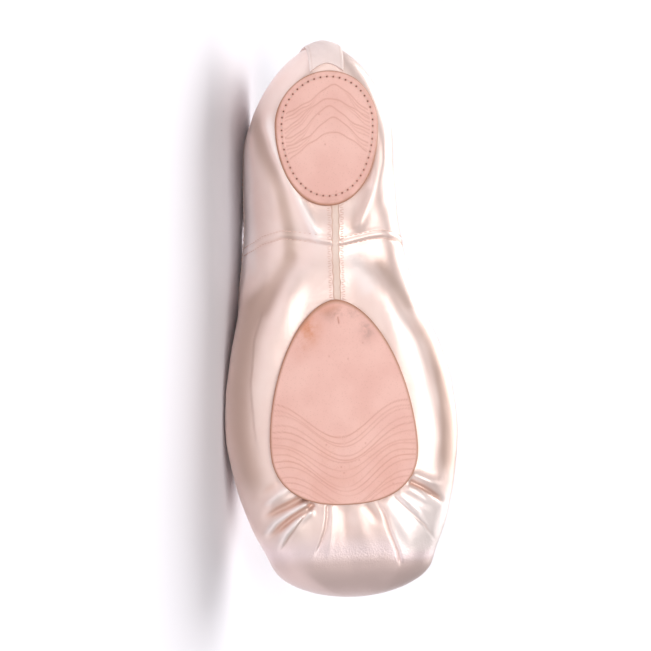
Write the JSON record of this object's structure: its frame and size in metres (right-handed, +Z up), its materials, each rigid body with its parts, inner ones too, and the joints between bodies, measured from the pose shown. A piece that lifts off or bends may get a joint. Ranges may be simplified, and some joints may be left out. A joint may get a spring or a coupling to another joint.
{
  "type": "pointe shoe",
  "caption": "Split-sole pointe shoe in pale satin: stiff box with a flat oval platform, soft quarters, separate leather patches under ball and heel, bound collar.",
  "frame": {"origin": "middle of the bounding box, on the floor on which the shoe lies", "axes": "+X from heel to toe, +Y from the sole towards the collar, +Z up from the floor: the shoe lies on its left side"},
  "size_m": [0.2458, 0.0684, 0.0985],
  "materials": {
    "satin": "satin",
    "leather": "matte suede-like leather",
    "sock": "matte cotton",
    "tape": "matte woven tape"
  },
  "bodies": {
    "root": {"upper": "satin", "outsole_forefoot": "leather", "outsole_heel": "leather", "insole": "sock", "collar_binding": "tape", "back_strip": "tape"}
  },
  "joints": []
}
